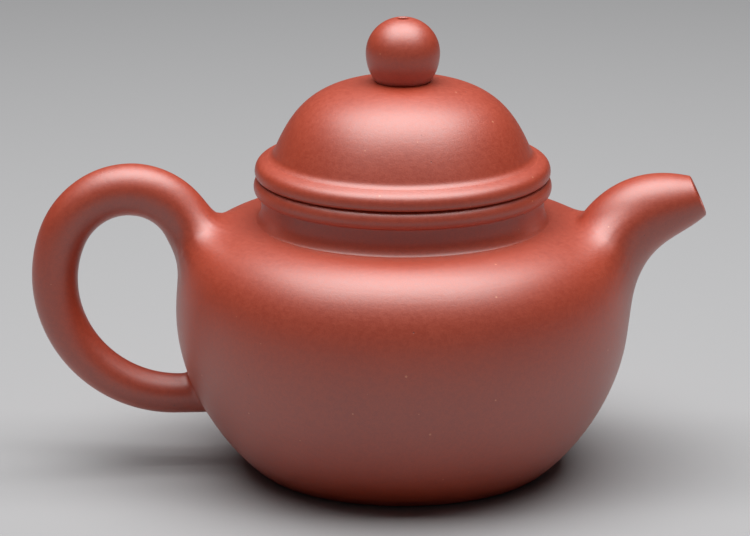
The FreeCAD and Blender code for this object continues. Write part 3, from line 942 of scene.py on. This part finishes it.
lip_radius = SPOUT_MOUTH_RADIUS - half_wall + half_wall * np.cos(w) + 0.0 * turn
lip_rows = roll_point(shell, lip_along, turn, lip_radius)
skin = np.concatenate([plain_rows, root_rows, under_rows, bore_rows, lip_rows])
fold = len(plain_rows) + len(root_rows) - 1
add_piece("spout_horn", skin, "pot", "burnished_clay", ["spout"],
          [fold, fold + len(under_rows) + 1])

# %% [markdown]
# ## The hole under the spout
# Before a spout is luted on, a hole is punched through the leather-hard wall with a tube. Here a
# tool body does the same: a cylinder along the spout's root is taken out of the belly wall, and the
# tool is thrown away. The bore and the hole have the same radius, so tea finds no step.

# %% Hole in the belly wall
TOOL_SIDES = 64
TOOL_REACH = 4.0 * MM


def tube_tool(start, end, radius):
    """Closed cylinder between two points of the plane y = 0, as an object of its own."""
    axis = np.array([end[0] - start[0], 0.0, end[1] - start[1]])
    axis /= np.linalg.norm(axis)
    across = np.array([-axis[2], 0.0, axis[0]])
    angle = np.linspace(0.0, 2.0 * math.pi, TOOL_SIDES, endpoint=False)[:, None]
    ring = radius * (np.cos(angle) * across + np.sin(angle) * np.array([0.0, 1.0, 0.0]))
    points = np.vstack([ring + (start[0], 0.0, start[1]), ring + (end[0], 0.0, end[1])])
    i = np.arange(TOOL_SIDES)
    j = (i + 1) % TOOL_SIDES
    faces = np.column_stack([i, j, j + TOOL_SIDES, i + TOOL_SIDES]).tolist()
    faces += [i[::-1].tolist(), (i + TOOL_SIDES).tolist()]
    mesh = bpy.data.meshes.new("tube_tool")
    mesh.from_pydata(points.tolist(), [], faces)
    tool = bpy.data.objects.new("tube_tool", mesh)
    bpy.context.scene.collection.objects.link(tool)
    return tool


def punch(piece, tool):
    """Takes the tool out of the piece for good, and removes the tool."""
    cut = piece.modifiers.new("punch", "BOOLEAN")
    cut.operation = "DIFFERENCE"
    cut.solver = "EXACT"
    cut.object = tool
    bpy.context.view_layer.update()
    whole = piece.data
    before = len(whole.polygons)
    finished = piece.evaluated_get(bpy.context.evaluated_depsgraph_get())
    piece.data = bpy.data.meshes.new_from_object(finished)
    piece.modifiers.clear()
    bpy.data.meshes.remove(whole)
    bpy.data.meshes.remove(tool.data)
    print(piece.name, "has", len(piece.data.polygons), "faces after the punch, and had", before)


tool_start = toward(spout_root, SPOUT_ROOT_ANGLE, -DEEP)
tool_end = toward(spout_root, SPOUT_ROOT_ANGLE, TOOL_REACH)
punch(pieces["belly_wall"], tube_tool(tool_start, tool_end, SPOUT_ROOT_RADIUS - SPOUT_ROOT_WALL))

# %% [markdown]
# ## The handle
# The handle is a solid roll bent into an ear. It leaves the belly level, low on the side opposite the
# spout, turns up through four bends of growing tightness, and comes down into the shoulder. A spline
# through a few points would wobble between them, so the line is the running sum of its headings, and
# a heading is the running sum of the bends. The roll grows thicker up to its top and thins a little
# towards the upper root, which is stroked into a wide hollow. The lower root is close.

# %% Handle
HANDLE_DROP = 19.6 * MM
HANDLE_RUN = 18.6 * MM
HANDLE_BENDS = [(26.55 * MM, 112.0), (17.3 * MM, 38.0), (15.3 * MM, 30.0), (14.4 * MM, 64.0)]
HANDLE_END = 24.0 * MM
HANDLE_SHARES = [0.0, 0.3, 0.5, 0.7, 0.85, 1.0]
HANDLE_RADII = [4.1 * MM, 4.75 * MM, 5.17 * MM, 5.77 * MM, 5.8 * MM, 5.5 * MM]
HANDLE_BALLS = (6.0 * MM, 11.0 * MM, 12.0 * MM)
HANDLE_LOW_BALLS = (1.6 * MM, 1.6 * MM, 1.6 * MM)
HANDLE_AROUND = 80
HANDLE_ROWS = 200
LINE_STEP = 0.2 * MM


def ear():
    """Roll of the handle: straight, four bends of steady curvature, and straight into the belly."""
    runs = [(HANDLE_RUN, 0.0)]
    runs += [(bend * math.radians(sweep), -1.0 / bend) for bend, sweep in HANDLE_BENDS]
    runs += [(HANDLE_END, 0.0)]
    ends = np.cumsum([run for run, _ in runs])
    length = np.arange(0.0, ends[-1], LINE_STEP)
    run_of = np.searchsorted(ends, length + LINE_STEP / 2).clip(0, len(runs) - 1)
    curvature = np.array([bend for _, bend in runs])[run_of]
    heading = math.pi + np.concatenate([[0.0], np.cumsum(curvature[:-1] * LINE_STEP)])
    middle = heading + curvature * LINE_STEP / 2
    x = -FOOT_RADIUS + np.concatenate([[0.0], np.cumsum(LINE_STEP * np.cos(middle[:-1]))])
    z = WIDEST - HANDLE_DROP + np.concatenate([[0.0], np.cumsum(LINE_STEP * np.sin(middle[:-1]))])
    radius = np.interp(length / length[-1], HANDLE_SHARES, HANDLE_RADII)
    return Roll(length, x, z, heading, radius)


roll = ear()
half = len(roll.length) // 2
low_half = Roll(*(values[:half] for values in roll))
top_half = Roll(*(values[half:] for values in roll))
turn = np.linspace(0.0, 2.0 * math.pi, HANDLE_AROUND, endpoint=False)
low_along, low_rows = luted_root(low_half, turn, 0.0, low_half.length[-1], HANDLE_LOW_BALLS)
top_along, top_rows = luted_root(top_half, turn, roll.length[-1], top_half.length[0], HANDLE_BALLS)
share = np.linspace(0.0, 1.0, HANDLE_ROWS)[:, None]
plain_rows = roll_point(roll, (1 - share) * low_along + share * top_along, turn)[1:-1]
print("the handle's line is", round(roll.length[-1] / MM, 1), "mm long, and",
      round((top_along - low_along) / MM, 1), "mm of it lie between the roots")

# %% Skin of the handle
END_SHARES = [0.5, 0.02, 0.0005]
END_SUNK = 4 * SUNK


def buried_end(hem):
    """Rows that close the end of a roll under the belly's skin, drawn in to almost a point."""
    middle = hem.mean(axis=0)
    share = np.array(END_SHARES)[:, None, None]
    return on_belly(middle + share * (hem - middle), END_SUNK)


skin = np.concatenate([buried_end(low_rows[-1])[::-1], low_rows[::-1], plain_rows,
                       top_rows, buried_end(top_rows[-1])])
fold = len(END_SHARES)
add_piece("ear_handle", skin, "pot", "burnished_clay", ["handle"],
          [fold, len(skin) - 1 - fold])

# %% [markdown]
# ## Camera
# The pot is seen from a little above and from about a metre away, through a long lens that hardly
# narrows what is further off. A shorter lens close by would frame it as well, but it would look down
# on the lid and swell the belly.

# %% Camera
TARGET = (-6.1 * MM, 0.0, 45.0 * MM)
CAMERA_DISTANCE = 967.0 * MM
CAMERA_RISE = math.radians(15.73)
LENS = 209.2
SENSOR_WIDTH = 36.0
FAR_END = 20.0

camera_data = bpy.data.cameras.new("camera")
camera_data.lens = LENS
camera_data.sensor_width = SENSOR_WIDTH
camera_data.clip_end = FAR_END
camera = bpy.data.objects.new("camera", camera_data)
camera.location = (TARGET[0], TARGET[1] - CAMERA_DISTANCE * math.cos(CAMERA_RISE),
                   TARGET[2] + CAMERA_DISTANCE * math.sin(CAMERA_RISE))
camera.rotation_euler = (math.pi / 2 - CAMERA_RISE, 0.0, 0.0)
bpy.context.scene.collection.objects.link(camera)
bpy.context.scene.camera = camera
print("camera at", [round(v, 3) for v in camera.location])

# %% [markdown]
# ## Floor and light
# The floor is a plain pale sheet, the same for every ray, so it also throws light back under the
# belly. One wide soft box hangs over the pot. Several small lamps would dot a burnished skin with
# highlights, and one wide lamp draws the long soft ones that run round a real pot. The room beyond is
# almost dark, so that the clay keeps its depth.

# %% Floor
FLOOR_SIZE = 6.0
FLOOR_COLOUR = (0.38, 0.38, 0.385, 1.0)
FLOOR_ROUGHNESS = 0.7
FLOOR_GLOSS = 0.2

floor_mesh = bpy.data.meshes.new("floor")
side = FLOOR_SIZE / 2
corners = [(-side, -side, 0), (side, -side, 0), (side, side, 0), (-side, side, 0)]
floor_mesh.from_pydata(corners, [], [(0, 1, 2, 3)])
floor = bpy.data.objects.new("floor", floor_mesh)
bpy.context.scene.collection.objects.link(floor)
floor_paint = bpy.data.materials.new("floor_paint")
floor_paint.use_nodes = True
paint = floor_paint.node_tree.nodes["Principled BSDF"].inputs
paint["Base Color"].default_value = FLOOR_COLOUR
paint["Roughness"].default_value = FLOOR_ROUGHNESS
paint["Specular IOR Level"].default_value = FLOOR_GLOSS
floor_mesh.materials.append(floor_paint)
print("the floor is", FLOOR_SIZE, "m wide")

# %% Light
LAMP_PLACE = (0.0, -0.01, 0.8)
LAMP_AIM = (0.0, -0.01, 0.0)
LAMP_SIZE = (1.08, 0.74)
LAMP_POWER = 13.2
ROOM_COLOUR = (0.03, 0.03, 0.031, 1.0)


def soft_box(name, place, aim, size, power):
    """Area lamp at a place, turned to shine at a point."""
    lamp = bpy.data.lights.new(name, "AREA")
    lamp.shape = "RECTANGLE"
    lamp.size, lamp.size_y = size
    lamp.energy = power
    lamp_object = bpy.data.objects.new(name, lamp)
    lamp_object.location = place
    away = mathutils.Vector(place) - mathutils.Vector(aim)
    lamp_object.rotation_euler = away.to_track_quat("Z", "Y").to_euler()
    bpy.context.scene.collection.objects.link(lamp_object)
    return lamp_object


soft_box("overhead_box", LAMP_PLACE, LAMP_AIM, LAMP_SIZE, LAMP_POWER)

world = bpy.data.worlds.new("studio")
world.use_nodes = True
world.node_tree.nodes["Background"].inputs["Color"].default_value = ROOM_COLOUR
bpy.context.scene.world = world
bpy.context.scene.view_settings.view_transform = "Standard"
print("one soft box of", LAMP_POWER, "W over a pale floor")

# %% [markdown]
# ## The strainer
# Behind the hole under the spout sits a small ball of clay full of holes, which keeps the leaves back.
# It could be turned and punched here again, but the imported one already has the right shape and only
# shows through the mouth, so it stays as it is and gets plain clay.

# %% Strainer
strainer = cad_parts["spout_strainer"]
strainer.data.materials.clear()
strainer.data.materials.append(clay_of["plain_clay"])
print("the strainer keeps its", len(strainer.data.polygons), "faces and wears plain clay")

# %% [markdown]
# At the end the view layer is brought up to date.

bpy.context.view_layer.update()
